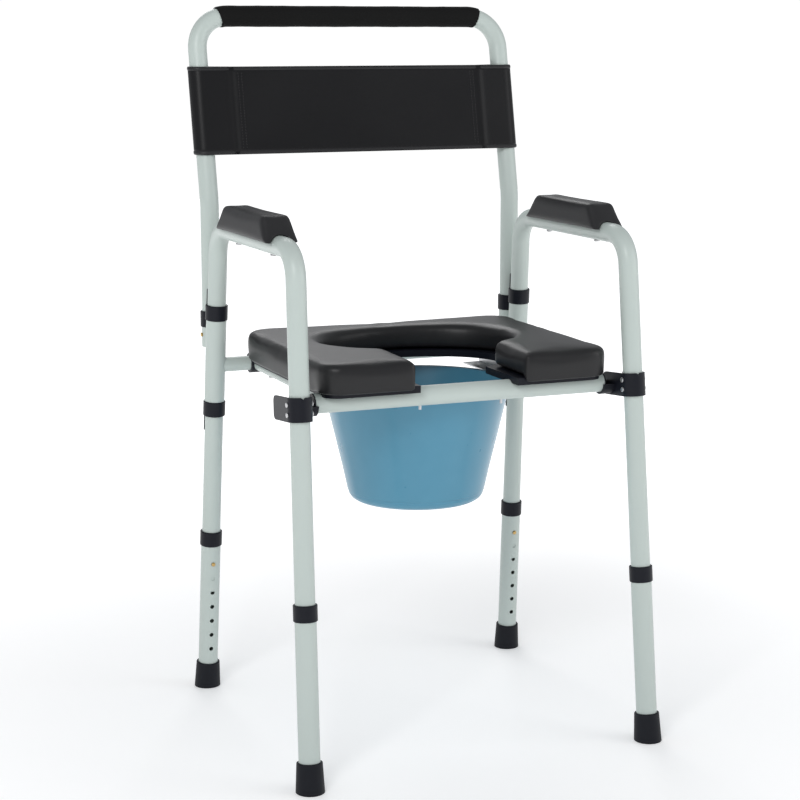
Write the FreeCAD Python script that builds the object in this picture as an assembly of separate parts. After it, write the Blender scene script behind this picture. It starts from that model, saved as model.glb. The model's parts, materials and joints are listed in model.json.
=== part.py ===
"""Height-adjustable commode chair with a padded open-front seat, a pail and a lift-off backrest.

Units are millimetres.  +Z is up, +X is the sitter's left-hand side seen from the front viewer's
right, and the sitter faces -Y.  The chair stands on its four rubber feet at Z = 0.
"""
import FreeCAD
import Part
import math
import os

from FreeCAD import Vector

# Overall layout
half_width = 252.0            # side frame axis to the middle plane, at datum_height
side_spread = 0.0158          # how far each side leans out per unit of drop
datum_height = 560.0
front_leg_y = 0.0             # front leg axis at datum_height
rear_leg_y = 373.4            # rear leg axis at datum_height
front_rake = 0.1005           # front foot stands forward, per unit of drop
rear_rake = 0.088             # rear foot stands backward, per unit of drop
arm_height = 728.0
arm_bend_radius = 45.0

# Tubes
frame_tube_radius = 14.0
frame_tube_wall = 1.2
lower_tube_radius = 15.0
lower_tube_wall = 0.8
leg_sliding_gap = lower_tube_radius - lower_tube_wall - frame_tube_radius
inner_leg_bottom = 160.0      # height where the frame tube ends inside the lower leg

# Height adjustment
button_height = 205.0
hole_pitch = 23.3
hole_count = 7
button_radius = 3.0
hole_clearance = 0.25
button_proud = 2.2            # button tip beyond the outer tube
button_flange_radius = 4.2
button_flange_thickness = 1.2
button_flange_depth = 8.5     # rear face of the flange from the tube axis
spring_width = 5.0

# Leg collars and feet
collar_bottom = 233.0
collar_length = 22.8
collar_radius = 16.8
collar_fit = 0.05
collar_lip = 3.0
foot_top = 40.7
foot_floor = 6.0
foot_top_radius = 18.0
foot_bottom_radius = 20.1
foot_groove_depth = 1.5

# Sleeves that carry the back frame on the rear legs
sleeve_bottom = 463.0
sleeve_top = 588.0
sleeve_radius = 15.3
sleeve_bore_gap = 0.1
bushing_length = 22.8
tongue_length = 23.0
tongue_half_angle = 72.0
tongue_radius = 15.4
cross_bar_radius = 11.0
cross_bar_wall = 1.2
cross_bar_height = 518.0

# Backrest and its sockets
post_x = 249.0
post_y = 404.0
post_bottom = 545.0
post_kink_height = 757.0
post_lean = 0.21
back_top_height = 1036.0
back_bend_radius = 50.0
post_kink_radius = 70.0
socket_bottom = 543.0
socket_top = 573.5
socket_wall = 1.0
socket_gap = 0.2
socket_collar_length = 24.0
socket_button_height = 561.5
web_thickness = 3.0
grip_radius = 16.3
grip_gap = 0.1
grip_overrun_angle = 18.0
strap_bottom = 831.0
strap_top = 962.0
strap_thickness = 2.2
strap_clearance = 0.9
strap_seam_x = 192.0
strap_turn = 10.0             # straight run behind each post before the strap turns in

# Arm pads
pad_length_bottom = 240.0
pad_length_top = 176.0
pad_width_bottom = 50.0
pad_width_top = 42.0
pad_bottom_height = 731.0
pad_top_height = 769.5
pad_middle_y = 184.0
pad_edge_radius = 7.0
pad_screw_offset = 77.0
pad_fit = 0.3
screw_shank_radius = 2.2
screw_head_radius = 4.5
screw_head_height = 2.4

# Front clips
clip_bottom = 501.4
clip_height = 33.0
clip_wall = 3.2
clip_fit = 0.1
clip_ear_reach = 58.0         # ears behind the leg axis
clip_ear_corner = 8.0
rivet_radius = 2.0
rivet_head_radius = 3.6
rivet_head_height = 1.6
rivet_spacing = 13.6
rivet_low = 9.7               # lower rivet above the clip's bottom edge
cradle_reach = 19.0           # trough under the bar, inward of the clip's ear
cradle_wall = 3.0
cradle_gap = 0.3

# Seat frame
front_bar_radius = 14.0
front_bar_wall = 1.2
front_bar_y = 34.0
front_bar_height = 516.5
front_bar_half_length = 222.0
bar_plug_thickness = 2.0
side_rail_x = 186.0
side_rail_radius = 9.5
side_rail_wall = 1.2
hinge_block_radius = 15.0
hinge_block_length = 26.0
hinge_running_gap = 0.05
board_bottom = 526.5
board_thickness = 10.0

# Cushion and its opening
cushion_half_width = 222.0
cushion_front_y = -9.0
cushion_rear_y = 361.0
cushion_top = 577.0
cushion_bottom = 527.0
cushion_corner_radius = 34.0
cushion_rear_corner_radius = 46.0
cushion_edge_radius = 13.0
skirt_thickness = 12.0
opening_half_width = 142.0
opening_half_length = 105.0
opening_middle_y = 192.0
slot_half_width = 82.0
board_step = 8.0              # how far the board shows inside the opening
cushion_fit = 0.3

# Pail and its rails
pail_middle_y = 196.0
pail_rim_height = 503.5
pail_rim_thickness = 2.0
pail_rim_radius = 147.0
pail_mouth_radius = 139.0
pail_base_radius = 101.0
pail_bottom = 332.0
pail_wall = 2.4
pail_base_corner = 14.0
pail_rail_inner_x = 141.0
pail_rail_web_x = 168.0
pail_rail_thickness = 2.0
pail_rail_front_y = 62.0
pail_rail_rear_y = 340.0
pail_rail_gap = 0.3
board_screw_radius = 2.0

BIG = 2000.0


def leg_point(end, height):
    """Point on the left leg axis, front or rear, at a height."""
    drop = datum_height - height
    across = -(half_width + side_spread * drop)
    if end == "front":
        return Vector(across, front_leg_y - front_rake * drop, height)
    return Vector(across, rear_leg_y + rear_rake * drop, height)


def leg_direction(end):
    """Unit vector up the left leg."""
    along = leg_point(end, 600.0) - leg_point(end, 100.0)
    along.normalize()
    return along


def rod(start, finish, radius):
    """Solid cylinder between two points."""
    along = finish - start
    return Part.makeCylinder(radius, along.Length, start, along)


def ring(start, finish, outer, inner):
    """Straight tube between two points."""
    along = finish - start
    unit = Vector(along)
    unit.normalize()
    bore = Part.makeCylinder(inner, along.Length + 20.0, start - unit * 10.0, along)
    return rod(start, finish, outer).cut(bore)


def box(low, high):
    """Box between two opposite corners."""
    size = high - low
    return Part.makeBox(size.x, size.y, size.z, low)


def rounded_path(points, radii):
    """Wire through the points with a tangent arc at every inner corner."""
    edges = []
    last = points[0]
    for index in range(1, len(points) - 1):
        corner = points[index]
        back = points[index - 1] - corner
        ahead = points[index + 1] - corner
        back.normalize()
        ahead.normalize()
        half_angle = back.getAngle(ahead) / 2.0
        reach = radii[index - 1] / math.tan(half_angle)
        middle = back + ahead
        middle.normalize()
        centre = corner + middle * (radii[index - 1] / math.sin(half_angle))
        start = corner + back * reach
        finish = corner + ahead * reach
        summit = centre - middle * radii[index - 1]
        edges.append(Part.makeLine(last, start))
        edges.append(Part.Arc(start, summit, finish).toShape())
        last = finish
    edges.append(Part.makeLine(last, points[-1]))
    return Part.Wire(edges)


def swept_round(path, start, direction, radius):
    """Round bar of one radius along a path."""
    profile = Part.Wire([Part.makeCircle(radius, start, direction)])
    return path.makePipeShell([profile], True, True)


def bent_tube(points, radii, outer, wall):
    """Hollow bent tube through the points."""
    path = rounded_path(points, radii)
    direction = points[1] - points[0]
    body = swept_round(path, points[0], direction, outer)
    core = swept_round(path, points[0], direction, outer - wall)
    return body.cut(core)


def mirrored(shape):
    """The same shape on the other side of the middle plane."""
    return shape.mirror(Vector(0, 0, 0), Vector(1, 0, 0))


def hole_direction(end):
    """Unit vector from the leg axis out through the button hole."""
    along = leg_direction(end)
    inward = Vector(0, 1, 0) if end == "front" else Vector(0, -1, 0)
    square = inward - along * inward.dot(along)
    square.normalize()
    return square


def make_side_frame():
    """One bent tube: front leg, arm rest and rear leg."""
    front_foot = leg_point("front", inner_leg_bottom)
    rear_foot = leg_point("rear", inner_leg_bottom)
    front_corner = leg_point("front", arm_height)
    rear_corner = leg_point("rear", arm_height)
    points = [front_foot, front_corner, rear_corner, rear_foot]
    radii = [arm_bend_radius, arm_bend_radius]
    tube = bent_tube(points, radii, frame_tube_radius, frame_tube_wall)
    for end in ("front", "rear"):
        middle = leg_point(end, button_height)
        way = hole_direction(end)
        tube = tube.cut(rod(middle, middle + way * 30.0, button_radius + hole_clearance))
    for offset in (-pad_screw_offset, pad_screw_offset):
        foot = Vector(front_corner.x, pad_middle_y + offset, arm_height - 20.0)
        tube = tube.cut(rod(foot, foot + Vector(0, 0, 40), screw_shank_radius + 0.1))
    for height in rivet_heights():
        middle = leg_point("front", height)
        across = Vector(40, 0, 0)
        tube = tube.cut(rod(middle - across, middle + across, rivet_radius + 0.05))
    return tube


def make_lower_leg(end):
    """Outer telescoping tube with its row of height holes."""
    along = leg_direction(end)
    button = leg_point(end, button_height)
    top = leg_point(end, collar_bottom + collar_length - collar_lip - 0.3)
    bottom = leg_point(end, foot_floor + 2.5)
    inner = lower_tube_radius - lower_tube_wall
    tube = ring(bottom, top, lower_tube_radius, inner)
    way = hole_direction(end)
    for index in range(hole_count):
        middle = button - along * (hole_pitch * index)
        hole = rod(middle, middle + way * 30.0, button_radius + hole_clearance)
        tube = tube.cut(hole)
    return tube


def make_leg_collar(end):
    """Plastic collar on the top of a lower leg, with a lip over the tube end."""
    bottom = leg_point(end, collar_bottom)
    top = leg_point(end, collar_bottom + collar_length)
    seat = leg_point(end, collar_bottom + collar_length - collar_lip)
    collar = rod(bottom, top, collar_radius)
    collar = collar.makeChamfer(0.8, [edge for edge in collar.Edges if is_ring(edge)])
    collar = collar.cut(rod(bottom - leg_direction(end) * 5.0, seat, lower_tube_radius + collar_fit))
    reach = leg_direction(end) * 5.0
    return collar.cut(rod(seat - reach, top + reach, frame_tube_radius + leg_sliding_gap))


def is_ring(edge):
    """True for a full circular edge."""
    return isinstance(edge.Curve, Part.Circle)


def make_foot(end):
    """Rubber ferrule, cut flat where it stands on the floor."""
    along = leg_direction(end)
    low = leg_point(end, -8.0)
    high = leg_point(end, foot_top)
    length = (high - low).Length
    slope = (foot_bottom_radius - foot_top_radius) / foot_top
    cone = Part.makeCone(foot_bottom_radius + slope * 8.0, foot_top_radius, length, low, along)
    rim = [edge for edge in cone.Edges if is_ring(edge) and edge.Curve.Center.z > 10.0]
    cone = cone.makeFillet(1.5, rim)
    pocket = leg_point(end, foot_floor + 2.5)
    cone = cone.cut(rod(pocket, high + along * 10.0, lower_tube_radius + collar_fit))
    floor = box(Vector(-BIG, -BIG, -60), Vector(BIG, BIG, 0))
    cone = cone.cut(floor)
    ground = leg_point(end, 0.0)
    for radius in (7.0, 13.0):
        start = ground - Vector(0, 0, 1)
        groove = ring(start, start + Vector(0, 0, 1 + foot_groove_depth), radius + 1.5, radius)
        cone = cone.cut(groove)
    return cone


def make_button(middle, way, tip):
    """Snap button: round head with a domed tip on a thin flange."""
    flange = rod(middle + way * button_flange_depth,
                 middle + way * (button_flange_depth + button_flange_thickness),
                 button_flange_radius)
    head = rod(middle + way * (button_flange_depth + 0.5), middle + way * tip, button_radius)
    crown = [edge for edge in head.Edges if is_ring(edge)
             and (edge.Curve.Center - middle).dot(way) > tip - 0.1]
    head = head.makeFillet(1.3, crown)
    return flange.fuse(head).removeSplitter()


def make_spring(middle, way, along, far_side):
    """V-shaped leaf that pushes a button outward from the far tube wall."""
    front = button_flange_depth - 0.1
    outer = [(front, 4.0), (front, -4.0), (0.0, -32.0), (-far_side, -4.0)]
    inner = [(-far_side + 0.7, -4.0), (0.0, -30.0), (front - 0.6, -4.0), (front - 0.6, 4.0)]
    across = way.cross(along)
    across.normalize()
    corners = [middle + way * u + along * v - across * (spring_width / 2.0)
               for u, v in outer + inner]
    face = Part.Face(Part.makePolygon(corners + [corners[0]]))
    return face.extrude(across * spring_width)


def leg_button(end):
    """Button of one leg."""
    tip = lower_tube_radius + button_proud
    return make_button(leg_point(end, button_height), hole_direction(end), tip)


def leg_spring(end):
    """Leaf spring of one leg button."""
    far_side = frame_tube_radius - frame_tube_wall - 0.6
    middle = leg_point(end, button_height)
    return make_spring(middle, hole_direction(end), leg_direction(end), far_side)


def make_sleeve():
    """Steel sleeve round the rear leg."""
    bottom = leg_point("rear", sleeve_bottom)
    top = leg_point("rear", sleeve_top)
    return ring(bottom, top, sleeve_radius, frame_tube_radius + sleeve_bore_gap)


def make_bushing(upper):
    """Plastic bushing at a sleeve's end: a collar with a thin tongue along the leg."""
    if upper:
        near, far, tip = sleeve_top, sleeve_top + bushing_length, sleeve_top + bushing_length
        tip += tongue_length
    else:
        near, far, tip = sleeve_bottom, sleeve_bottom - bushing_length, sleeve_bottom - bushing_length
        tip -= tongue_length
    bore = frame_tube_radius + collar_fit
    collar = rod(leg_point("rear", near), leg_point("rear", far), collar_radius)
    collar = collar.makeChamfer(0.8, [edge for edge in collar.Edges if is_ring(edge)])
    overlap = 2.0 if upper else -2.0
    tongue = rod(leg_point("rear", far - overlap), leg_point("rear", tip), tongue_radius)
    wedge_reach = 60.0
    middle = leg_point("rear", far)
    angle = math.radians(tongue_half_angle)
    left = middle + Vector(-math.sin(angle), math.cos(angle), 0) * wedge_reach
    right = middle + Vector(math.sin(angle), math.cos(angle), 0) * wedge_reach
    outline = Part.makePolygon([middle, left, right, middle])
    wedge = Part.Face(outline).extrude(Vector(0, 0, 120))
    wedge.translate(Vector(0, 0, -60))
    body = collar.fuse(tongue.common(wedge))
    clear = rod(leg_point("rear", near - 40), leg_point("rear", near + 40 + 60), bore)
    if not upper:
        clear = rod(leg_point("rear", near + 40), leg_point("rear", near - 40 - 60), bore)
    return body.cut(clear)


def make_cross_bar(sleeve, mirror_sleeve):
    """Round bar between the two sleeves; the seat turns on it."""
    middle = leg_point("rear", cross_bar_height)
    start = Vector(middle.x, middle.y, cross_bar_height)
    finish = Vector(-middle.x, middle.y, cross_bar_height)
    bar = ring(start, finish, cross_bar_radius, cross_bar_radius - cross_bar_wall)
    for side in (1.0, -1.0):
        low = leg_point("rear", sleeve_bottom)
        high = leg_point("rear", sleeve_top)
        low = Vector(low.x * side, low.y, low.z)
        high = Vector(high.x * side, high.y, high.z)
        bar = bar.cut(rod(low, high, sleeve_radius))
    return bar


def cross_bar_y():
    """Where the cross bar's axis runs."""
    return leg_point("rear", cross_bar_height).y


def make_socket(sleeve):
    """Short upright tube behind the sleeve that takes the backrest post, with its welded web."""
    inner = frame_tube_radius + socket_gap
    outer = inner + socket_wall
    bottom = Vector(-post_x, post_y, socket_bottom)
    top = Vector(-post_x, post_y, socket_top)
    tube = rod(bottom, top, outer)
    leg = leg_point("rear", socket_bottom + 10.0)
    web = box(Vector(leg.x - web_thickness, leg.y, socket_bottom),
              Vector(leg.x + web_thickness, post_y, socket_top - 4.0))
    body = tube.fuse(web)
    body = body.cut(rod(bottom - Vector(0, 0, 5), top + Vector(0, 0, 5), inner))
    low = leg_point("rear", sleeve_bottom)
    high = leg_point("rear", sleeve_top)
    body = body.cut(rod(low, high, sleeve_radius))
    middle = Vector(-post_x, post_y, socket_button_height)
    hole = rod(middle, middle - Vector(30, 0, 0), button_radius + hole_clearance)
    return body.cut(hole)


def make_socket_collar():
    """Plastic cap collar on the socket's top end."""
    bottom = Vector(-post_x, post_y, socket_top)
    top = bottom + Vector(0, 0, socket_collar_length)
    collar = rod(bottom, top, collar_radius)
    collar = collar.makeChamfer(0.8, [edge for edge in collar.Edges if is_ring(edge)])
    return collar.cut(rod(bottom - Vector(0, 0, 2), top + Vector(0, 0, 2),
                          frame_tube_radius + socket_gap))


def back_points():
    """Corner points of the backrest tube."""
    lean_y = post_y + post_lean * (back_top_height - post_kink_height)
    return [Vector(-post_x, post_y, post_bottom),
            Vector(-post_x, post_y, post_kink_height),
            Vector(-post_x, lean_y, back_top_height),
            Vector(post_x, lean_y, back_top_height),
            Vector(post_x, post_y, post_kink_height),
            Vector(post_x, post_y, post_bottom)]


def make_back_frame():
    """Bent tube of the backrest: two posts and the top bar."""
    radii = [post_kink_radius, back_bend_radius, back_bend_radius, post_kink_radius]
    tube = bent_tube(back_points(), radii, frame_tube_radius, frame_tube_wall)
    middle = Vector(-post_x, post_y, socket_button_height)
    for side in (-1.0, 1.0):
        start = Vector(post_x * side, post_y, socket_button_height)
        finish = start + Vector(30.0 * side, 0, 0)
        tube = tube.cut(rod(start, finish, button_radius + hole_clearance))
    return tube


def make_grip():
    """Foam grip on the top bar, running a little way round both bends."""
    points = back_points()
    corner = points[2]
    lean = points[1] - corner
    lean.normalize()
    centre = corner + Vector(back_bend_radius, 0, 0) + lean * back_bend_radius
    angle = math.radians(grip_overrun_angle)

    def on_bend(turn):
        spoke = Vector(-math.sin(turn), 0, 0) - lean * math.cos(turn)
        return centre + spoke * back_bend_radius

    start = on_bend(angle)
    half = on_bend(angle / 2.0)
    flat = on_bend(0.0)
    edges = [Part.Arc(start, half, flat).toShape(),
             Part.makeLine(flat, Vector(-flat.x, flat.y, flat.z)),
             Part.Arc(Vector(-flat.x, flat.y, flat.z), Vector(-half.x, half.y, half.z),
                      Vector(-start.x, start.y, start.z)).toShape()]
    path = Part.Wire(edges)
    tangent = Vector(math.cos(angle), 0, 0) - lean * math.sin(angle)
    outer = swept_round(path, start, tangent, grip_radius)
    inner = swept_round(path, start, tangent, frame_tube_radius + grip_gap)
    return outer.cut(inner)


def make_strap():
    """Back strap: a front sheet that loops round both posts to seams behind it."""
    base_y = post_y + post_lean * (strap_bottom - post_kink_height)
    inner = frame_tube_radius * math.sqrt(1.0 + post_lean ** 2) + strap_clearance
    outer = inner + strap_thickness
    front = base_y - outer
    back = base_y - inner
    turn_x = post_x - strap_turn
    z = strap_bottom

    def point(x, y):
        return Vector(x, y, z)

    def outline(radius, near_seam):
        edges = [Part.makeLine(point(-post_x, base_y - radius), point(post_x, base_y - radius)),
                 Part.Arc(point(post_x, base_y - radius), point(post_x + radius, base_y),
                          point(post_x, base_y + radius)).toShape(),
                 Part.makeLine(point(post_x, base_y + radius), point(turn_x, base_y + radius)),
                 Part.makeLine(point(turn_x, base_y + radius), point(near_seam, back)),
                 Part.makeLine(point(near_seam, back), point(-near_seam, back)),
                 Part.makeLine(point(-near_seam, back), point(-turn_x, base_y + radius)),
                 Part.makeLine(point(-turn_x, base_y + radius), point(-post_x, base_y + radius)),
                 Part.Arc(point(-post_x, base_y + radius), point(-post_x - radius, base_y),
                          point(-post_x, base_y - radius)).toShape()]
        return Part.Wire(edges)

    skin = Part.Face(outline(outer, strap_seam_x))
    sweep = Vector(0, post_lean, 1.0) * (strap_top - strap_bottom)
    body = skin.extrude(sweep)
    for side in (1.0, -1.0):
        loop = [Part.makeLine(point(side * (strap_seam_x + 6.0), back), point(side * post_x, back)),
                Part.Arc(point(side * post_x, back), point(side * (post_x + inner), base_y),
                         point(side * post_x, base_y + inner)).toShape(),
                Part.makeLine(point(side * post_x, base_y + inner),
                              point(side * turn_x, base_y + inner)),
                Part.makeLine(point(side * turn_x, base_y + inner),
                              point(side * (strap_seam_x + 6.0), back))]
        pocket = Part.Face(Part.Wire(loop)).extrude(sweep * 1.1)
        pocket.translate(Vector(0, -post_lean, -1.0) * (strap_top - strap_bottom) * 0.05)
        body = body.cut(pocket)
    return body


def make_arm_pad():
    """Moulded arm pad: tapered block with rounded edges, hollowed to sit over the tube."""
    middle_x = leg_point("front", arm_height).x

    def layer(width, length, height):
        low = Vector(middle_x - width / 2.0, pad_middle_y - length / 2.0, height)
        corners = [low, low + Vector(width, 0, 0), low + Vector(width, length, 0),
                   low + Vector(0, length, 0), low]
        return Part.makePolygon(corners)

    lower = layer(pad_width_bottom, pad_length_bottom, pad_bottom_height)
    upper = layer(pad_width_top, pad_length_top, pad_top_height)
    pad = Part.makeLoft([lower, upper], True, True)
    soft = [edge for edge in pad.Edges if edge.BoundBox.ZMax > pad_bottom_height + 1.0]
    pad = pad.makeFillet(pad_edge_radius, soft)
    groove = rod(Vector(middle_x, -BIG, arm_height), Vector(middle_x, BIG, arm_height),
                 frame_tube_radius + pad_fit)
    pad = pad.cut(groove)
    for offset in (-pad_screw_offset, pad_screw_offset):
        foot = Vector(middle_x, pad_middle_y + offset, arm_height)
        pad = pad.cut(rod(foot, foot + Vector(0, 0, 30.0), screw_shank_radius + 0.05))
    return pad


def make_pad_screws():
    """Two pan-head screws that hold an arm pad from below."""
    middle_x = leg_point("front", arm_height).x
    screws = []
    for offset in (-pad_screw_offset, pad_screw_offset):
        seat = Vector(middle_x, pad_middle_y + offset, arm_height - frame_tube_radius)
        top = seat + Vector(0, 0, 40.0)
        shank = rod(seat, top, screw_shank_radius)
        head = rod(seat - Vector(0, 0, screw_head_height), seat, screw_head_radius)
        rim = [edge for edge in head.Edges if is_ring(edge) and edge.Curve.Center.z < seat.z - 1]
        head = head.makeFillet(1.2, rim)
        screws.append(shank.fuse(head))
    return Part.makeCompound(screws)


def rivet_heights():
    """Heights of the two clip rivets."""
    low = clip_bottom + rivet_low
    return (low, low + rivet_spacing)


def make_clip():
    """Plastic U clip round the front of the leg, with two ears behind and a cradle for the bar."""
    axis = leg_direction("front")
    turn = FreeCAD.Rotation(Vector(0, 0, 1), axis)
    place = FreeCAD.Placement(leg_point("front", clip_bottom), turn)
    inner = frame_tube_radius + clip_fit
    outer = inner + clip_wall
    band = Part.makeCylinder(outer, clip_height)
    back = box(Vector(-outer, 0, 0), Vector(outer, clip_ear_reach, clip_height))
    shell = band.fuse(back)
    rear = [edge for edge in shell.Edges if edge.BoundBox.YMin > clip_ear_reach - 0.5
            and edge.BoundBox.XLength > 2 * outer - 1.0]
    shell = shell.makeFillet(clip_ear_corner, rear)
    shell = shell.cut(Part.makeCylinder(inner, clip_height + 2.0, Vector(0, 0, -1)))
    shell = shell.cut(box(Vector(-inner, 0, -1), Vector(inner, clip_ear_reach + 5, clip_height + 1)))
    notch = Part.Face(Part.makePolygon([Vector(-3, -BIG, clip_height + 0.01),
                                        Vector(3, -BIG, clip_height + 0.01),
                                        Vector(0, -BIG, clip_height - 3),
                                        Vector(-3, -BIG, clip_height + 0.01)]))
    shell = shell.cut(notch.extrude(Vector(0, BIG, 0)))
    shell.Placement = place
    face_x = leg_point("front", front_bar_height).x + outer - 1.0
    middle = Vector(face_x, front_bar_y, front_bar_height)
    trough = ring(middle, middle + Vector(cradle_reach, 0, 0),
                  front_bar_radius + cradle_gap + cradle_wall, front_bar_radius + cradle_gap)
    half = box(Vector(-BIG, -BIG, 0), Vector(BIG, BIG, front_bar_height - 1.0))
    trough = trough.common(half)
    shell = shell.fuse(trough)
    for height in rivet_heights():
        centre = leg_point("front", height)
        across = Vector(40, 0, 0)
        shell = shell.cut(rod(centre - across, centre + across, rivet_radius + 0.05))
    return shell


def make_clip_rivets():
    """Two rivets through the clip's ears and the leg."""
    rivets = []
    reach = frame_tube_radius + clip_fit + clip_wall + 0.1
    for height in rivet_heights():
        centre = leg_point("front", height)
        across = Vector(1, 0, 0)
        rivet = rod(centre - across * reach, centre + across * reach, rivet_radius)
        for side in (-1.0, 1.0):
            face = centre + across * (reach * side)
            head = rod(face, face + across * (rivet_head_height * side), rivet_head_radius)
            rim = [edge for edge in head.Edges if is_ring(edge)
                   and abs(edge.Curve.Center.x - face.x) > 1.0]
            rivet = rivet.fuse(head.makeFillet(0.9, rim))
        rivets.append(rivet)
    return Part.makeCompound(rivets)


def make_front_bar():
    """Front tube of the seat frame."""
    start = Vector(-front_bar_half_length + bar_plug_thickness, front_bar_y, front_bar_height)
    finish = Vector(front_bar_half_length - bar_plug_thickness, front_bar_y, front_bar_height)
    bar = ring(start, finish, front_bar_radius, front_bar_radius - front_bar_wall)
    for side in (-1.0, 1.0):
        low = Vector(side * 62.0, front_bar_y, front_bar_height - 30.0)
        bar = bar.cut(rod(low, low + Vector(0, 0, 30.0), board_screw_radius + 0.1))
    return bar


def make_bar_plugs():
    """Plastic plugs in the two ends of the front bar."""
    plugs = []
    for side in (-1.0, 1.0):
        outer = Vector(side * front_bar_half_length, front_bar_y, front_bar_height)
        face = outer - Vector(side * bar_plug_thickness, 0, 0)
        disc = rod(face, outer, front_bar_radius)
        stem = rod(face - Vector(side * 12.0, 0, 0), face, front_bar_radius - front_bar_wall - 0.05)
        plugs.append(disc.fuse(stem))
    return Part.makeCompound(plugs)


def make_side_rail():
    """Tube of the seat frame from the front bar back to the hinge block."""
    start = Vector(-side_rail_x, front_bar_y, front_bar_height)
    finish = Vector(-side_rail_x, cross_bar_y(), front_bar_height)
    rail = ring(start, finish, side_rail_radius, side_rail_radius - side_rail_wall)
    bar_left = Vector(-BIG, front_bar_y, front_bar_height)
    rail = rail.cut(rod(bar_left, Vector(BIG, front_bar_y, front_bar_height), front_bar_radius))
    pivot_left = Vector(-BIG, cross_bar_y(), cross_bar_height)
    pivot_right = Vector(BIG, cross_bar_y(), cross_bar_height)
    return rail.cut(rod(pivot_left, pivot_right, hinge_block_radius))


def make_hinge_block():
    """Plastic block at the rail's rear end that turns on the cross bar."""
    start = Vector(-side_rail_x - hinge_block_length / 2.0, cross_bar_y(), cross_bar_height)
    finish = start + Vector(hinge_block_length, 0, 0)
    return ring(start, finish, hinge_block_radius, cross_bar_radius + hinge_running_gap)


def plan_outline(half, front, rear, front_corner, rear_corner, height):
    """Rounded rectangle in plan."""
    left_front = Vector(-half, front, height)
    right_front = Vector(half, front, height)
    right_rear = Vector(half, rear, height)
    left_rear = Vector(-half, rear, height)
    start = Vector(0, front, height)
    points = [start, right_front, right_rear, left_rear, left_front, start]
    radii = [front_corner, rear_corner, rear_corner, front_corner]
    return rounded_path(points, radii)


def make_opening(grow, low, high):
    """Solid that cuts the round opening and its front slot."""
    ellipse = Part.Ellipse(Vector(0, opening_middle_y, low),
                           opening_half_width + grow, opening_half_length + grow)
    hole = Part.Face(Part.Wire([ellipse.toShape()])).extrude(Vector(0, 0, high - low))
    slot = box(Vector(-slot_half_width - grow, cushion_front_y - 40, low),
               Vector(slot_half_width + grow, opening_middle_y, high))
    return hole.fuse(slot).removeSplitter()


def make_cushion():
    """Moulded soft seat: domed slab with a skirt that hangs round the board."""
    outer = plan_outline(cushion_half_width, cushion_front_y, cushion_rear_y,
                         cushion_corner_radius, cushion_rear_corner_radius, cushion_bottom)
    block = Part.Face(outer).extrude(Vector(0, 0, cushion_top - cushion_bottom))
    block = block.cut(make_opening(0.0, cushion_bottom - 5.0, cushion_top + 5.0))
    soft = [edge for edge in block.Edges if edge.BoundBox.ZMin > cushion_top - 0.5]
    block = block.makeFillet(cushion_edge_radius, soft)
    bar = rod(Vector(-BIG, front_bar_y, front_bar_height), Vector(BIG, front_bar_y, front_bar_height),
              front_bar_radius + cushion_fit)
    return block.cut(board_space()).cut(bar)


def board_space():
    """Room under the cushion for the board."""
    inset = skirt_thickness - cushion_fit
    outline = plan_outline(cushion_half_width - inset, cushion_front_y + inset,
                           cushion_rear_y - inset, cushion_corner_radius - inset,
                           cushion_rear_corner_radius - inset, cushion_bottom - 5.0)
    top = board_bottom + board_thickness + cushion_fit
    return Part.Face(outline).extrude(Vector(0, 0, top - cushion_bottom + 5.0))


def make_board():
    """Stiff plate under the cushion, showing as a step inside the opening."""
    outline = plan_outline(cushion_half_width - skirt_thickness, cushion_front_y + skirt_thickness,
                           cushion_rear_y - skirt_thickness,
                           cushion_corner_radius - skirt_thickness,
                           cushion_rear_corner_radius - skirt_thickness, board_bottom)
    plate = Part.Face(outline).extrude(Vector(0, 0, board_thickness))
    plate = plate.cut(make_opening(-board_step, board_bottom - 5, board_bottom + board_thickness + 5))
    bar = rod(Vector(-BIG, front_bar_y, front_bar_height), Vector(BIG, front_bar_y, front_bar_height),
              front_bar_radius + 0.1)
    plate = plate.cut(bar)
    for point in board_screw_points():
        plate = plate.cut(rod(point - Vector(0, 0, 30), point + Vector(0, 0, 8), board_screw_radius))
    return plate


def board_screw_points():
    """Where screws go up into the board, at the board's underside."""
    points = []
    for side in (-1.0, 1.0):
        for y in (90.0, 310.0):
            points.append(Vector(side * side_rail_x, y, board_bottom))
    return points


def make_board_screws():
    """Screws up through the side rails into the board."""
    screws = []
    for point in board_screw_points():
        low = Vector(point.x, point.y, front_bar_height - side_rail_radius)
        shank = rod(low, point + Vector(0, 0, 7.5), board_screw_radius - 0.05)
        head = rod(low - Vector(0, 0, 2.0), low, 4.0)
        screws.append(shank.fuse(head))
    return screws


def make_bar_screws():
    """Two screw ends under the front bar."""
    screws = []
    for side in (-1.0, 1.0):
        top = Vector(side * 62.0, front_bar_y, front_bar_height - 4.0)
        low = top - Vector(0, 0, 15.5)
        screws.append(rod(low, top, board_screw_radius))
    return screws


def make_pail_rail():
    """Bent strip under the board that the pail's rim rests on."""
    low = pail_rim_height - pail_rail_gap - pail_rail_thickness
    ledge = box(Vector(-pail_rail_web_x - pail_rail_thickness, pail_rail_front_y, low),
                Vector(-pail_rail_inner_x, pail_rail_rear_y, low + pail_rail_thickness))
    web = box(Vector(-pail_rail_web_x - pail_rail_thickness, pail_rail_front_y, low),
              Vector(-pail_rail_web_x, pail_rail_rear_y, board_bottom))
    return ledge.fuse(web).removeSplitter()


def revolved(profile):
    """Closed radius and height profile turned about the pail's axis."""
    points = [Vector(r, 0, z) for r, z in profile]
    face = Part.Face(Part.makePolygon(points + [points[0]]))
    solid = face.revolve(Vector(0, 0, 0), Vector(0, 0, 1), 360)
    solid.translate(Vector(0, pail_middle_y, 0))
    return solid


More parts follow.
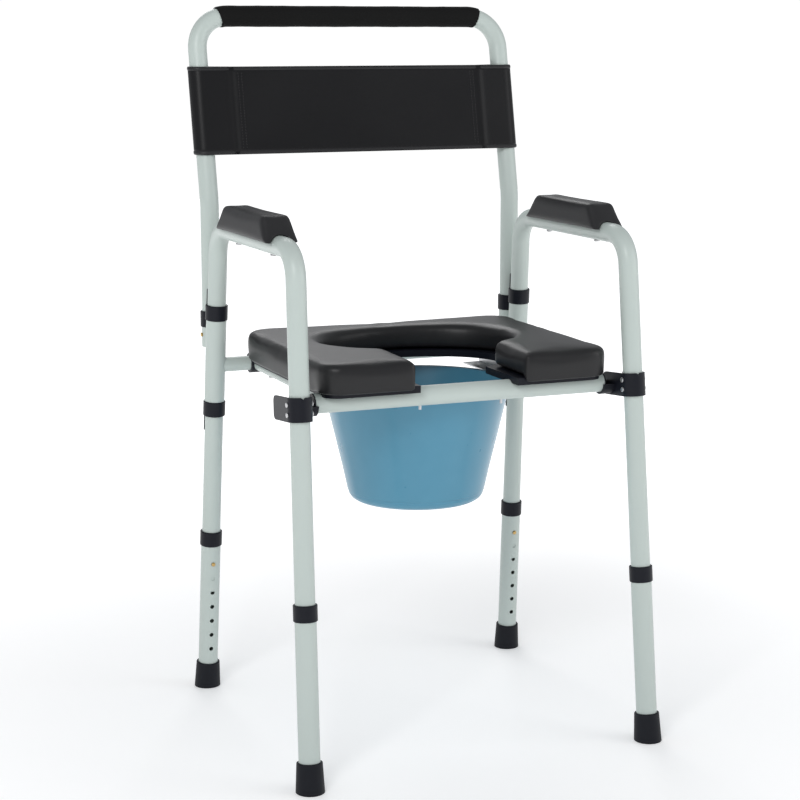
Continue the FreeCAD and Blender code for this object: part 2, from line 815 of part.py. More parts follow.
def make_pail():
    """Tapered round pail with a rounded base and a flat rim."""
    rim_top = pail_rim_height + pail_rim_thickness
    slope = (pail_mouth_radius - pail_base_radius) / (pail_rim_height - pail_bottom)
    corner = pail_base_corner
    outer = [(0.0, pail_bottom)]
    for step in range(5):
        angle = math.radians(22.5 * step)
        outer.append((pail_base_radius - corner + corner * math.sin(angle),
                      pail_bottom + corner - corner * math.cos(angle)))
    outer.append((pail_mouth_radius - slope * 0.5, pail_rim_height))
    outer.append((pail_rim_radius, pail_rim_height))
    outer.append((pail_rim_radius, rim_top))
    inner = [(pail_mouth_radius - pail_wall, rim_top),
             (pail_base_radius + slope * corner - pail_wall, pail_bottom + corner),
             (pail_base_radius - corner - pail_wall + 2.0, pail_bottom + pail_wall),
             (0.0, pail_bottom + pail_wall)]
    return revolved(outer + inner)


def add_pair(parts, name, shape):
    """Store a left part and its mirror image."""
    parts[name + "_left"] = shape
    parts[name + "_right"] = mirrored(shape)


def build_root(parts):
    """Everything that stays with the frame."""
    add_pair(parts, "side_frame", make_side_frame())
    add_pair(parts, "arm_pad", make_arm_pad())
    add_pair(parts, "arm_pad_screws", make_pad_screws())
    add_pair(parts, "front_clip", make_clip())
    add_pair(parts, "clip_rivets", make_clip_rivets())
    sleeve = make_sleeve()
    add_pair(parts, "hinge_sleeve", sleeve)
    parts["rear_cross_bar"] = make_cross_bar(sleeve, mirrored(sleeve))
    add_pair(parts, "upper_bushing", make_bushing(True))
    add_pair(parts, "lower_bushing", make_bushing(False))
    add_pair(parts, "back_socket", make_socket(sleeve))
    add_pair(parts, "socket_collar", make_socket_collar())


def build_legs(parts):
    """Telescoping lower legs with their collars, feet, buttons and springs."""
    for end in ("front", "rear"):
        add_pair(parts, "lower_leg_" + end, make_lower_leg(end))
        add_pair(parts, "leg_collar_" + end, make_leg_collar(end))
        add_pair(parts, "rubber_foot_" + end, make_foot(end))
        add_pair(parts, "leg_button_" + end, leg_button(end))
        add_pair(parts, "leg_spring_" + end, leg_spring(end))


def build_backrest(parts):
    """Lift-off backrest with its grip, strap and buttons."""
    parts["back_frame"] = make_back_frame()
    parts["foam_grip"] = make_grip()
    parts["back_strap"] = make_strap()
    middle = Vector(-post_x, post_y, socket_button_height)
    way = Vector(-1, 0, 0)
    tip = frame_tube_radius + socket_gap + socket_wall + button_proud
    add_pair(parts, "back_button", make_button(middle, way, tip))
    far_side = frame_tube_radius - frame_tube_wall - 0.6
    add_pair(parts, "back_spring", make_spring(middle, way, Vector(0, 0, -1), far_side))


def build_seat(parts):
    """Seat that turns up on the cross bar, with the pail below it."""
    parts["front_bar"] = make_front_bar()
    parts["bar_plugs"] = make_bar_plugs()
    rail = make_side_rail()
    screws = make_board_screws()
    for screw in screws:
        if screw.BoundBox.XMax < 0:
            rail = rail.cut(screw)
    add_pair(parts, "seat_rail", rail)
    add_pair(parts, "seat_hinge", make_hinge_block())
    parts["seat_board"] = make_board()
    parts["seat_cushion"] = make_cushion()
    parts["seat_screws"] = Part.makeCompound(screws + make_bar_screws())
    add_pair(parts, "pail_rail", make_pail_rail())
    parts["pail"] = make_pail()


def floor_shift(parts):
    """Move that puts the origin under the middle of the whole chair."""
    front = parts["rubber_foot_front_left"].optimalBoundingBox(False).YMin
    rear = parts["foam_grip"].optimalBoundingBox(False).YMax
    return Vector(0, -(front + rear) / 2.0, 0)


def main():
    """Build every part and write one file for each."""
    os.makedirs("parts", exist_ok=True)
    parts = {}
    build_root(parts)
    build_legs(parts)
    build_backrest(parts)
    build_seat(parts)
    shift = floor_shift(parts)
    print("origin shift", shift)
    for name, shape in parts.items():
        moved = shape.copy()
        moved.translate(shift)
        solids = moved.Solids
        if not solids or not moved.isValid():
            print("check", name, len(solids), moved.isValid())
        moved = solids[0] if len(solids) == 1 else Part.makeCompound(solids)
        moved.exportStep(os.path.join("parts", name + ".step"))
    print("parts written:", len(parts))


main()
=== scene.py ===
"""Commode chair: soft parts, finishes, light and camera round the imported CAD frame."""
from __future__ import annotations

import json
import logging
import math
from dataclasses import dataclass, field
from enum import Enum
from typing import Iterable

import bmesh
import bpy
import numpy as np
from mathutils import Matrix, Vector

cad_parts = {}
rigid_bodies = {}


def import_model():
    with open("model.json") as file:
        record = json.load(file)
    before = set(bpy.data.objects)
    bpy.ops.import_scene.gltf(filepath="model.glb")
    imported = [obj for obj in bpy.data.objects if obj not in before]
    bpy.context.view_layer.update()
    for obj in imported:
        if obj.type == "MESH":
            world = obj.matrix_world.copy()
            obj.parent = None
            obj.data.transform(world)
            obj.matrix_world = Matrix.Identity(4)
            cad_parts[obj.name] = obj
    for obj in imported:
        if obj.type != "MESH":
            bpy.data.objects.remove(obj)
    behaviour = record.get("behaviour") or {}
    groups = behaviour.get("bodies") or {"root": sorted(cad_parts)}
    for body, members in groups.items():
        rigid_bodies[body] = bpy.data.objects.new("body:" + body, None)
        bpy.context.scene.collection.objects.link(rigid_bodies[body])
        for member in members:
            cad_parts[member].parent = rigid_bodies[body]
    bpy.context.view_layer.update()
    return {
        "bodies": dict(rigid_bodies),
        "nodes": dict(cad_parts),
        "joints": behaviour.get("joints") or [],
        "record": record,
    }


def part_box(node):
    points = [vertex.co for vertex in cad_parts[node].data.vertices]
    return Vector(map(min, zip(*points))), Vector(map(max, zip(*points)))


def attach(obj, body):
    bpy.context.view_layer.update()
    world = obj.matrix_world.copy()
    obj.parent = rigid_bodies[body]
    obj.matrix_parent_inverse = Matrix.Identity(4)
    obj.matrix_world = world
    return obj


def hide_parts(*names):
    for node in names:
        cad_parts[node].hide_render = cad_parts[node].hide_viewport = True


LOG = logging.getLogger("chair")
# Distance that takes the drawing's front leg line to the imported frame's origin, in metres.
SHIFT_Y = -0.201152
CLOTH_FRAMES = 20
SENSOR_WIDTH = 36.0


class Slot(Enum):
    """Material slots of the record."""

    PAINT = "frame_paint"
    BRASS = "brass_buttons"
    ZINC = "zinc_steel"
    RUBBER = "black_rubber"
    # The pad finish is the arm pads' own colour. It also paints the strap's binding and stitches
    # lighter than the vinyl, as a painted highlight.
    PAD_AND_TRIM_HIGHLIGHT = "pad_foam"
    GRIP = "grip_foam"
    VINYL = "black_vinyl"
    SEAT = "seat_skin"
    PAIL = "blue_plastic"
    PLASTIC = "black_plastic"


@dataclass(frozen=True)
class Finish:
    """Numbers of one surface finish.

    Args:
        dark: colour in the low spots.
        light: colour in the high spots.
        rough: lowest and highest roughness.
        grain: size of the fine grain in metres.
        bump: depth of the grain in metres.
        metal: metallic value.
        coat: clear coat weight.
        cells: True for leather-like cells, False for plain noise.
        shine: specular level.
    """

    dark: tuple[float, float, float]
    light: tuple[float, float, float]
    rough: tuple[float, float]
    grain: float
    bump: float
    metal: float = 0.0
    coat: float = 0.0
    cells: bool = False
    shine: float = 0.5


FINISHES: dict[Slot, Finish] = {
    Slot.PAINT: Finish((0.49, 0.555, 0.525), (0.53, 0.595, 0.565), (0.32, 0.44), 0.0016, 0.00005,
                       coat=0.15),
    Slot.BRASS: Finish((0.52, 0.33, 0.12), (0.70, 0.50, 0.22), (0.22, 0.40), 0.0010, 0.00003,
                       metal=1.0),
    Slot.ZINC: Finish((0.45, 0.45, 0.46), (0.62, 0.62, 0.63), (0.28, 0.45), 0.0012, 0.00004,
                      metal=1.0),
    Slot.RUBBER: Finish((0.004, 0.005, 0.008), (0.010, 0.011, 0.016), (0.45, 0.62), 0.0012,
                        0.00008, shine=0.25),
    # Arm pads' own colour, also used as the painted highlight on the strap's binding and stitches.
    Slot.PAD_AND_TRIM_HIGHLIGHT: Finish((0.012, 0.012, 0.013), (0.026, 0.026, 0.028), (0.36, 0.52), 0.0011, 0.00010,
                     cells=True, shine=0.35),
    Slot.GRIP: Finish((0.004, 0.004, 0.004), (0.012, 0.012, 0.012), (0.75, 0.95), 0.0022, 0.00035,
                      shine=0.15),
    Slot.VINYL: Finish((0.006, 0.006, 0.007), (0.012, 0.012, 0.013), (0.30, 0.44), 0.0013,
                       0.00012, cells=True, shine=0.22),
    Slot.SEAT: Finish((0.010, 0.010, 0.011), (0.018, 0.018, 0.019), (0.32, 0.44), 0.0010, 0.00006,
                      cells=True, shine=0.35),
    Slot.PAIL: Finish((0.07, 0.25, 0.37), (0.09, 0.29, 0.42), (0.24, 0.32), 0.0200, 0.00001,
                      coat=0.2),
    Slot.PLASTIC: Finish((0.004, 0.005, 0.009), (0.009, 0.010, 0.016), (0.34, 0.48), 0.0010,
                         0.00005, shine=0.25),
}


class Value:
    """One shader socket that can be used in sums and products."""

    def __init__(self, tree: bpy.types.NodeTree, socket: bpy.types.NodeSocket) -> None:
        self.tree = tree
        self.socket = socket

    def _math(self, operation: str, other: "Value | float") -> "Value":
        node = self.tree.nodes.new("ShaderNodeMath")
        node.operation = operation
        self.tree.links.new(self.socket, node.inputs[0])
        if isinstance(other, Value):
            self.tree.links.new(other.socket, node.inputs[1])
        else:
            node.inputs[1].default_value = other
        return Value(self.tree, node.outputs[0])

    def __add__(self, other: "Value | float") -> "Value":
        return self._math("ADD", other)

    def __mul__(self, other: "Value | float") -> "Value":
        return self._math("MULTIPLY", other)


class Shader:
    """Builds one procedural material."""

    def __init__(self, name: str) -> None:
        self.material = bpy.data.materials.new(name)
        self.material.use_nodes = True
        self.tree = self.material.node_tree
        self.surface = self.tree.nodes["Principled BSDF"]
        self.place = self.tree.nodes.new("ShaderNodeTexCoord").outputs["Object"]

    def other(self, kind: str, outlet: str = "Fac", **values: float) -> Value:
        """Adds any texture node in object coordinates.

        Args:
            kind: node type name.
            outlet: output to use.
            values: numbers for its inputs, by name.

        Returns:
            The chosen output.
        """
        node = self.tree.nodes.new(kind)
        self.tree.links.new(self.place, node.inputs["Vector"])
        for key, number in values.items():
            node.inputs[key].default_value = number
        return Value(self.tree, node.outputs[outlet])

    def tint(self, amount: Value, finish: Finish) -> None:
        """Mixes the two colours of a finish by an amount."""
        ramp = self.tree.nodes.new("ShaderNodeMix")
        ramp.data_type = "RGBA"
        ramp.inputs[6].default_value = (*finish.dark, 1.0)
        ramp.inputs[7].default_value = (*finish.light, 1.0)
        self.tree.links.new(amount.socket, ramp.inputs[0])
        self.tree.links.new(ramp.outputs[2], self.surface.inputs["Base Color"])

    def relief(self, height: Value, depth: float) -> None:
        """Feeds a height into the bump input."""
        bump = self.tree.nodes.new("ShaderNodeBump")
        bump.inputs["Distance"].default_value = depth
        bump.inputs["Strength"].default_value = 0.6
        self.tree.links.new(height.socket, bump.inputs["Height"])
        self.tree.links.new(bump.outputs[0], self.surface.inputs["Normal"])


COAT_ROUGHNESS = 0.25
REFRACTIVE_INDEX = 1.45
CLOUD_SCALE = 9.0
CLOUD_SHARE = 0.6


def build_finish(slot: Slot) -> bpy.types.Material:
    """Makes the material of a slot.

    Args:
        slot: which finish.

    Returns:
        The material.
    """
    finish = FINISHES[slot]
    shader = Shader(slot.value)
    cloud = shader.other("ShaderNodeTexNoise", Scale=CLOUD_SCALE, Detail=4.0)
    fine = shader.other("ShaderNodeTexNoise", Scale=1.0 / finish.grain, Detail=2.0)
    amount = cloud * CLOUD_SHARE + fine * (1.0 - CLOUD_SHARE)
    shader.tint(amount, finish)
    low, high = finish.rough
    rough = amount * (high - low) + low
    shader.tree.links.new(rough.socket, shader.surface.inputs["Roughness"])
    height = fine
    if finish.cells:
        cell = shader.other("ShaderNodeTexVoronoi", "Distance", Scale=1.0 / finish.grain)
        height = cell * 0.8 + fine * 0.4
    shader.relief(height, finish.bump)
    shader.surface.inputs["Metallic"].default_value = finish.metal
    shader.surface.inputs["Coat Weight"].default_value = finish.coat
    shader.surface.inputs["Coat Roughness"].default_value = COAT_ROUGHNESS
    shader.surface.inputs["IOR"].default_value = REFRACTIVE_INDEX
    shader.surface.inputs["Specular IOR Level"].default_value = finish.shine
    return shader.material


@dataclass
class Palette:
    """All finishes, and how they are put on objects."""

    made: dict[Slot, bpy.types.Material] = field(default_factory=dict)

    def get(self, slot: Slot) -> bpy.types.Material:
        """Returns a slot's material, made on first use."""
        if slot not in self.made:
            self.made[slot] = build_finish(slot)
        return self.made[slot]

    def paint(self, obj: bpy.types.Object, slot: Slot) -> None:
        """Puts a finish on an object."""
        if not obj.material_slots:
            obj.data.materials.append(None)
        for index in range(len(obj.material_slots)):
            obj.material_slots[index].link = "OBJECT"
            obj.material_slots[index].material = self.get(slot)


def mesh_object(name: str, points: np.ndarray, faces: Iterable) -> bpy.types.Object:
    """Makes a smooth-shaded object from points and faces."""
    mesh = bpy.data.meshes.new(name)
    mesh.from_pydata(np.asarray(points).tolist(), [], [list(face) for face in faces])
    mesh.validate()
    obj = bpy.data.objects.new(name, mesh)
    bpy.context.scene.collection.objects.link(obj)
    build = bmesh.new()
    build.from_mesh(mesh)
    bmesh.ops.recalc_face_normals(build, faces=build.faces)
    build.to_mesh(mesh)
    build.free()
    mesh.polygons.foreach_set("use_smooth", np.ones(len(mesh.polygons), dtype=bool))
    return obj


def grid_faces(rows: int, columns: int, wrap: bool = False) -> np.ndarray:
    """Quad indices of a grid of rows by columns; wrap closes it along its columns."""
    last = columns if wrap else columns - 1
    row, column = np.meshgrid(np.arange(rows - 1), np.arange(last), indexing="ij")
    after = (column + 1) % columns
    quads = np.stack([row * columns + column, row * columns + after,
                      (row + 1) * columns + after, (row + 1) * columns + column], axis=-1)
    return quads.reshape(-1, 4)


def read_points(obj: bpy.types.Object) -> np.ndarray:
    """Vertex positions of an object's own mesh."""
    flat = np.empty(len(obj.data.vertices) * 3)
    obj.data.vertices.foreach_get("co", flat)
    return flat.reshape(-1, 3)


def write_points(obj: bpy.types.Object, points: np.ndarray) -> None:
    """Stores vertex positions."""
    obj.data.vertices.foreach_set("co", np.ascontiguousarray(points).ravel())
    obj.data.update()


@dataclass
class SoftPiece:
    """A stuffed or foam piece grown from the room of its CAD node.

    Args:
        name: object name.
        node: CAD node it stands for.
        body: body it rides on.
        slot: finish.
        voxel: remesh size in metres.
        pressure: cloth pressure, 0 for no simulation.
        cap: furthest that a point may move in metres.
        fill: how full it is.
        shrink: how far the skin is drawn in before it swells, in metres.
    """

    name: str
    node: str
    body: str
    slot: Slot
    voxel: float
    pressure: float
    cap: float
    # fill: how full it is; not used.
    fill: float
    shrink: float = 0.0

    def build(self, frame: dict, palette: Palette) -> bpy.types.Object:
        source = frame["nodes"][self.node]
        obj = bpy.data.objects.new(self.name, source.data.copy())
        bpy.context.scene.collection.objects.link(obj)
        remesh = obj.modifiers.new("Remesh", "REMESH")
        remesh.mode = "VOXEL"
        remesh.voxel_size = self.voxel
        self.bake(obj)
        obj.modifiers.clear()
        self.draw_in(obj)
        if self.pressure > 0.0:
            self.swell(obj)
        self.shape(obj)
        obj.data.polygons.foreach_set("use_smooth", np.ones(len(obj.data.polygons), dtype=bool))
        soften = obj.modifiers.new("Smooth", "CORRECTIVE_SMOOTH")
        soften.iterations = 6
        soften.use_only_smooth = True
        finer = obj.modifiers.new("Finer", "SUBSURF")
        finer.levels = 1
        finer.render_levels = 1
        obj.data.materials.clear()
        palette.paint(obj, self.slot)
        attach(obj, self.body)
        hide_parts(self.node)
        return obj

    def bake(self, obj: bpy.types.Object) -> None:
        """Stores the evaluated mesh as the object's own."""
        graph = bpy.context.evaluated_depsgraph_get()
        baked = bpy.data.meshes.new_from_object(obj.evaluated_get(graph))
        obj.data = baked

    def draw_in(self, obj: bpy.types.Object) -> None:
        """Moves every point inward along its normal so that swelling stays in the room."""
        normals = np.empty(len(obj.data.vertices) * 3)
        obj.data.vertices.foreach_get("normal", normals)
        write_points(obj, read_points(obj) - normals.reshape(-1, 3) * self.shrink)

    def swell(self, obj: bpy.types.Object) -> None:
        """Runs the cloth for CLOTH_FRAMES frames and keeps at most the capped movement."""
        before = read_points(obj)
        cloth = obj.modifiers.new("Cloth", "CLOTH")
        cloth.settings.use_pressure = True
        cloth.settings.uniform_pressure_force = self.pressure
        cloth.settings.effector_weights.gravity = 0.0
        scene = bpy.context.scene
        scene.frame_start, scene.frame_end = 1, CLOTH_FRAMES
        for number in range(1, CLOTH_FRAMES + 1):
            scene.frame_set(number)
        graph = bpy.context.evaluated_depsgraph_get()
        after = np.empty(len(obj.data.vertices) * 3)
        obj.evaluated_get(graph).data.vertices.foreach_get("co", after)
        move = after.reshape(-1, 3) - before
        length = np.linalg.norm(move, axis=1, keepdims=True)
        move *= np.minimum(1.0, self.cap / np.maximum(length, 1e-9))
        obj.modifiers.clear()
        scene.frame_set(1)
        write_points(obj, before + move)

    def shape(self, obj: bpy.types.Object) -> None:
        """Hook for a piece's own surface detail."""


@dataclass
class SeatCushion(SoftPiece):
    """Seat cushion with a crowned top and a thin lip along its lower edge."""

    def shape(self, obj: bpy.types.Object) -> None:
        """Lowers the top towards the outline and pushes a lip out at the bottom.

        The top drops by 3 mm times the square of the distance from the middle over the half
        size.  The lip is a bell curve of 4 mm height round the lower edge that pushes the outer
        skin out by 1 mm and draws the skin above it in by 1.5 mm.
        """
        points = read_points(obj)
        low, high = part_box(self.node)
        middle = (np.array(low) + np.array(high)) / 2.0
        half = (np.array(high) - np.array(low)) / 2.0
        plan = (points[:, :2] - middle[:2]) / half[:2]
        reach = np.clip(np.abs(plan).max(axis=1), 0.0, 1.0)
        upper = np.clip((points[:, 2] - (high[2] - 0.02)) / 0.02, 0.0, 1.0)
        points[:, 2] -= 0.003 * reach ** 2 * upper
        rise = points[:, 2] - low[2]
        outer = np.clip((reach - 0.93) / 0.05, 0.0, 1.0)
        push = outer * (0.0010 * np.exp(-(rise / 0.004) ** 2)
                        - 0.0016 * np.exp(-((rise - 0.013) / 0.005) ** 2))
        away = plan / np.maximum(np.linalg.norm(plan, axis=1, keepdims=True), 1e-6)
        points[:, :2] += away * push[:, None]
        write_points(obj, points)


@dataclass
class ArmPad(SoftPiece):
    """Arm pad with a shallow saddle along its top."""

    def shape(self, obj: bpy.types.Object) -> None:
        """Lowers the middle of the top by up to 1.5 mm as a cosine across its width."""
        points = read_points(obj)
        low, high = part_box(self.node)
        across = (points[:, 0] - (low[0] + high[0]) / 2.0) / ((high[0] - low[0]) / 2.0)
        upper = np.clip((points[:, 2] - (high[2] - 0.008)) / 0.008, 0.0, 1.0)
        points[:, 2] -= 0.0015 * np.cos(across * math.pi / 2.0) ** 2 * upper
        write_points(obj, points)


@dataclass
class FoamGrip(SoftPiece):
    """Foam sleeve on the top bar, slightly uneven from being pushed on."""

    def shape(self, obj: bpy.types.Object) -> None:
        """Adds three low waves along the bar, together at most 0.5 mm deep."""
        points = read_points(obj)
        low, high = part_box(self.node)
        x = points[:, 0]
        wave = np.sin(x * 61.0) + 0.6 * np.sin(x * 143.0 + 1.3) + 0.4 * np.sin(x * 307.0 + 0.4)
        centre = np.array([0.0, (low[1] + high[1]) / 2.0, high[2] - 0.0163])
        spoke = points - centre
        spoke[:, 0] = 0.0
        spoke /= np.maximum(np.linalg.norm(spoke, axis=1, keepdims=True), 1e-6)
        write_points(obj, points - spoke * (0.00025 * (1.0 + 0.5 * wave))[:, None])


@dataclass
class BackStrap:
    """Vinyl strap between the posts: a looped sheet, bound edges and stitched seams.

    Args:
        low: lower edge height.
        high: upper edge height.
        post: post axis distance from the middle.
        seam: seam distance from the middle.
        radius: how far the sheet's middle is from the post axis.
        lean: how far the posts lean back per metre of height.
        thick: thickness of the sheet.
        post_y: post axis at the bend where the lean starts.
        kink: height of that bend.
        fold_place: distance of the seam fold's ridge beyond the seam.
        fold_width: half width of that ridge.
        fold_rise: how far the ridge stands out.
        belly: how far the middle of the sheet bows back.
    """

    low: float = 0.8325
    high: float = 0.9605
    post: float = 0.249
    seam: float = 0.194
    radius: float = 0.0163
    lean: float = 0.21
    thick: float = 0.0018
    post_y: float = 0.404
    kink: float = 0.757
    fold_place: float = 0.010
    fold_width: float = 0.005
    fold_rise: float = 0.0012
    belly: float = 0.0022

    def axis_y(self, z: np.ndarray | float) -> np.ndarray | float:
        """Post axis at a height."""
        return self.post_y + SHIFT_Y + self.lean * (z - self.kink)

    def plan(self, count: int) -> np.ndarray:
        """Evenly spaced points along the sheet in plan, from one seam to the other."""
        turn = np.linspace(-math.pi / 2.0, math.pi / 2.0, 24)
        arc = np.stack([self.post + self.radius * np.cos(turn), self.radius * np.sin(turn)], 1)
        tail = np.array([[self.post - 0.012, self.radius - 0.0006],
                         [self.seam + 0.012, -self.radius + 0.0078],
                         [self.seam, -self.radius + self.thick + 0.0003]])
        right = np.concatenate([np.array([[0.0, -self.radius]]), arc, tail])
        left = right[::-1] * np.array([-1.0, 1.0])
        line = np.concatenate([left[:-1], right])
        run = np.concatenate([[0.0], np.cumsum(np.linalg.norm(np.diff(line, axis=0), axis=1))])
        even = np.linspace(0.0, run[-1], count)
        return np.stack([np.interp(even, run, line[:, 0]), np.interp(even, run, line[:, 1])], 1)

    def at(self, plan: np.ndarray, z: float) -> np.ndarray:
        """Plan points carried to one height on the leaning posts."""
        return np.column_stack([plan[:, 0], plan[:, 1] + self.axis_y(z), np.full(len(plan), z)])

    def build(self, palette: Palette) -> None:
        """Makes the sheet, its bindings and its stitching; the bindings and stitching are painted
        lighter than the vinyl sheet as a painted highlight.

        The front layer bows by belly times the 0.7th power of a half sine up its height, faded
        out to the seams by one minus the fourth power of the distance from the middle.  Beside
        each seam a bell curve of the distance to the ridge pushes it out by fold_rise.
        """
        plan = self.plan(360)
        rows = 17
        steps = np.linspace(0.0, 1.0, rows)
        layers = []
        for step in steps:
            layer = self.at(plan, self.low + (self.high - self.low) * step)
            front = np.clip(1.0 - (np.abs(layer[:, 0]) / 0.19) ** 4, 0.0, 1.0)
            front *= (plan[:, 1] < -self.radius + 0.001)
            bow = math.sin(math.pi * step) ** 0.7
            layer[:, 1] += front * (self.belly * bow - 0.0006)
            ridge = (np.abs(layer[:, 0]) - self.seam - self.fold_place) / self.fold_width
            fold = np.exp(-ridge ** 2)
            layer[:, 1] -= self.fold_rise * fold * (plan[:, 1] < -self.radius + 0.001)
            layers.append(layer)
        sheet = mesh_object("strap_sheet", np.concatenate(layers), grid_faces(rows, len(plan)))
        solid = sheet.modifiers.new("Thick", "SOLIDIFY")
        solid.thickness = self.thick
        solid.offset = 0.0
        palette.paint(sheet, Slot.VINYL)
        # Bindings and stitches get the lighter pad finish: a painted highlight on the vinyl's edges
        # and seams.
        trims = [self.binding("strap_binding_low", plan, self.low + 0.0022, palette),
                 self.binding("strap_binding_high", plan, self.high - 0.0022, palette)]
        trims += [self.stitches(side, palette) for side in (-1.0, 1.0)]
        for obj in [sheet, *trims]:
            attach(obj, "backrest")
        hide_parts("back_strap")

    def binding(self, name: str, plan: np.ndarray, z: float, palette: Palette) -> bpy.types.Object:
        """Folded edge binding: a flat oval tube along the sheet's edge, painted in the lighter pad
        finish instead of the vinyl as a painted highlight on the rolled edge.
        """
        inner = plan[6:-6]
        centre = self.at(inner, z)
        along = np.gradient(centre, axis=0)
        along /= np.linalg.norm(along, axis=1, keepdims=True)
        out = np.stack([along[:, 1], -along[:, 0], np.zeros(len(along))], 1)
        turn = np.linspace(0.0, 2.0 * math.pi, 12, endpoint=False)
        rise = np.array([0.0, self.lean, 1.0])
        ring = (centre[:, None, :] + out[:, None, :] * (0.0017 * np.cos(turn))[None, :, None]
                + rise[None, None, :] * (0.0032 * np.sin(turn))[None, :, None])
        obj = mesh_object(name, ring.reshape(-1, 3), grid_faces(len(inner), 12, wrap=True))
        # Painted highlight: the binding is vinyl, but it is painted in the lighter pad finish.
        palette.paint(obj, Slot.PAD_AND_TRIM_HIGHLIGHT)
        return obj

    def stitches(self, side: float, palette: Palette) -> bpy.types.Object:
        """Two rows of short raised stitches down one seam, painted in the lighter pad finish as a
        painted highlight on the raised thread.
        """
        levels = np.arange(self.low + 0.008, self.high - 0.008, 0.0042)
        turn = np.linspace(0.0, 2.0 * math.pi, 6, endpoint=False)
        points, faces = [], []
        for column in (0.0, 0.0055):
            x = side * (self.seam - column)
            for z in levels:
                heights = z + np.array([0.0, 0.0015, 0.0030])
                sizes = np.array([0.00025, 0.00085, 0.00025])
                ring = np.stack([x + sizes[:, None] * np.cos(turn)[None, :],
                                 (self.axis_y(heights) - self.radius - 0.0006)[:, None]
                                 - sizes[:, None] * (0.5 + np.sin(turn))[None, :],
                                 np.repeat(heights[:, None], 6, axis=1)], -1)
                faces.append(grid_faces(3, 6, wrap=True) + len(points) * 18)
                points.append(ring.reshape(-1, 3))
        obj = mesh_object("strap_stitches_" + ("left" if side < 0 else "right"),
                          np.concatenate(points), np.concatenate(faces))
        # Painted highlight: the stitches are painted in the lighter pad finish.
        palette.paint(obj, Slot.PAD_AND_TRIM_HIGHLIGHT)
        return obj


@dataclass(frozen=True)
class Lamp:
    """One soft lamp: where it is, how wide, and its power in watts."""

    name: str
    place: tuple[float, float, float]
    size: float
    power: float


LAMPS = (
    Lamp("key", (-2.2, -2.6, 2.8), 1.4, 50.0),
    Lamp("fill", (2.6, -1.8, 1.6), 1.8, 18.0),
    Lamp("rim", (0.6, 2.8, 2.6), 1.6, 26.0),
)
AIM = (0.0, 0.0, 0.55)
# The floor's own glow rises from near to far, so that a shadow shows but no horizon does.
FLOOR_GLOW = {"From Min": 0.30, "From Max": 2.4, "To Min": 0.24, "To Max": 0.80}


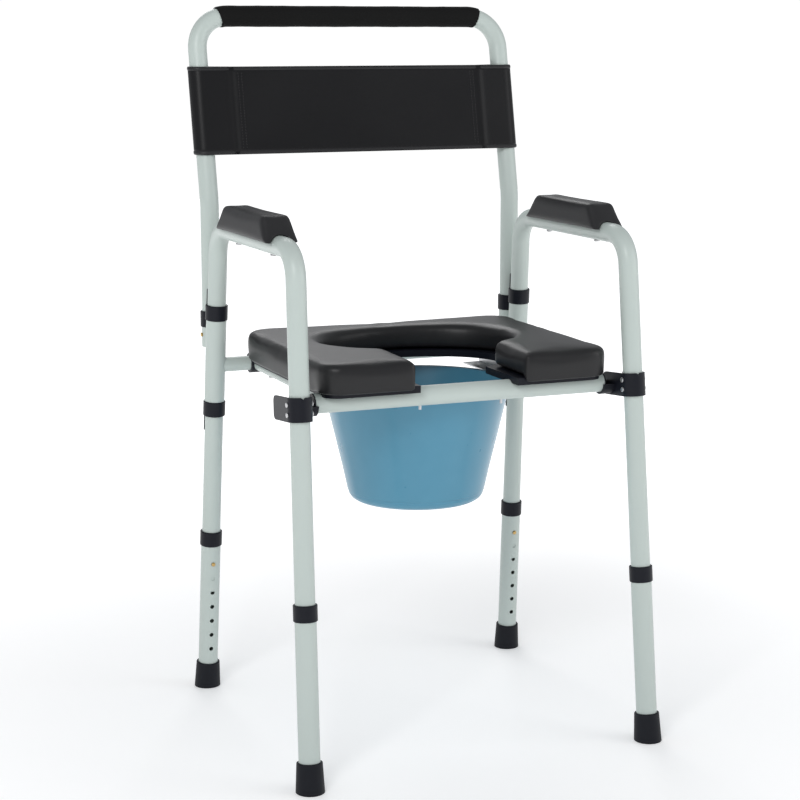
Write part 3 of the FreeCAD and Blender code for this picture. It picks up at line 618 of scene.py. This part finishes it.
@dataclass
class Studio:
    """White floor and background, plain light and the camera."""

    place: tuple[float, float, float] = (-1.1018, -2.6192, 1.0121)
    turn_deg: float = 22.38
    tilt_deg: float = 10.67
    lens: float = 87.84

    def camera(self) -> None:
        """Sets the camera at the viewing angle."""
        data = bpy.data.cameras.new("camera")
        data.lens = self.lens
        data.sensor_width = SENSOR_WIDTH
        obj = bpy.data.objects.new("camera", data)
        obj.location = self.place
        obj.rotation_euler = (math.radians(90.0 - self.tilt_deg), 0.0, math.radians(-self.turn_deg))
        bpy.context.scene.collection.objects.link(obj)
        bpy.context.scene.camera = obj

    def floor(self) -> None:
        """White floor that shows the chair's soft shadow."""
        points = np.array([[-9, -9, 0], [9, -9, 0], [9, 9, 0], [-9, 9, 0]], dtype=float)
        points[:, 2] = -0.0005
        obj = mesh_object("floor", points, [(0, 1, 2, 3)])
        material = bpy.data.materials.new("floor_white")
        material.use_nodes = True
        tree = material.node_tree
        surface = tree.nodes["Principled BSDF"]
        surface.inputs["Base Color"].default_value = (0.92, 0.92, 0.92, 1.0)
        surface.inputs["Roughness"].default_value = 0.9
        surface.inputs["Specular IOR Level"].default_value = 0.0
        surface.inputs["Emission Strength"].default_value = 1.0
        place = tree.nodes.new("ShaderNodeTexCoord").outputs["Object"]
        reach = tree.nodes.new("ShaderNodeVectorMath")
        reach.operation = "LENGTH"
        tree.links.new(place, reach.inputs[0])
        fade = tree.nodes.new("ShaderNodeMapRange")
        fade.interpolation_type = "SMOOTHSTEP"
        for key, number in FLOOR_GLOW.items():
            fade.inputs[key].default_value = number
        tree.links.new(reach.outputs["Value"], fade.inputs["Value"])
        tree.links.new(fade.outputs["Result"], surface.inputs["Emission Color"])
        obj.data.materials.append(material)

    def sky(self) -> None:
        """White to the camera, a calmer grey for lighting."""
        world = bpy.data.worlds.new("sky")
        world.use_nodes = True
        bpy.context.scene.world = world
        tree = world.node_tree
        light = tree.nodes["Background"]
        light.inputs["Color"].default_value = (0.95, 0.97, 1.0, 1.0)
        light.inputs["Strength"].default_value = 0.46
        white = tree.nodes.new("ShaderNodeBackground")
        white.inputs["Color"].default_value = (1.0, 1.0, 1.0, 1.0)
        white.inputs["Strength"].default_value = 1.02
        path = tree.nodes.new("ShaderNodeLightPath")
        mix = tree.nodes.new("ShaderNodeMixShader")
        tree.links.new(path.outputs["Is Camera Ray"], mix.inputs[0])
        tree.links.new(light.outputs[0], mix.inputs[1])
        tree.links.new(white.outputs[0], mix.inputs[2])
        tree.links.new(mix.outputs[0], tree.nodes["World Output"].inputs[0])

    def light(self, lamp: Lamp) -> None:
        """Places one lamp and aims it at the seat."""
        data = bpy.data.lights.new(lamp.name, "AREA")
        data.size = lamp.size
        data.energy = lamp.power
        obj = bpy.data.objects.new(lamp.name, data)
        obj.location = lamp.place
        aim = Vector(AIM) - Vector(lamp.place)
        obj.rotation_euler = aim.to_track_quat("-Z", "Y").to_euler()
        bpy.context.scene.collection.objects.link(obj)

    def build(self) -> None:
        """Builds the whole set."""
        self.camera()
        self.floor()
        self.sky()
        for lamp in LAMPS:
            self.light(lamp)
        bpy.context.scene.view_settings.view_transform = "Standard"


def soft_pieces() -> list[SoftPiece]:
    """Every stuffed or foam piece of the chair."""
    pieces: list[SoftPiece] = [
        SeatCushion("cushion", "seat_cushion", "seat", Slot.SEAT, voxel=0.0045, pressure=3.0,
                    cap=0.0025, fill=0.9, shrink=0.0022),
        FoamGrip("grip", "foam_grip", "backrest", Slot.GRIP, voxel=0.0014, pressure=0.0,
                 cap=0.0, fill=1.0),
    ]
    for side in ("left", "right"):
        pieces.append(ArmPad("pad_" + side, "arm_pad_" + side, "frame", Slot.PAD_AND_TRIM_HIGHLIGHT, voxel=0.0030,
                             pressure=2.0, cap=0.0010, fill=0.95, shrink=0.0009))
    return pieces


def finish_nodes(frame: dict, palette: Palette) -> None:
    """Gives every CAD node that stays its material."""
    slots = {entry["node"]: entry["material_slot"] for entry in frame["record"]["subparts"]}
    for name, obj in frame["nodes"].items():
        palette.paint(obj, Slot(slots[name]))


def main() -> None:
    """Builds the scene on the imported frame."""
    logging.basicConfig(level=logging.INFO)
    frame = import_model()
    palette = Palette()
    finish_nodes(frame, palette)
    for piece in soft_pieces():
        piece.build(frame, palette)
        LOG.info("built %s", piece.name)
    BackStrap().build(palette)
    Studio().build()


if __name__ == "__main__":
    main()
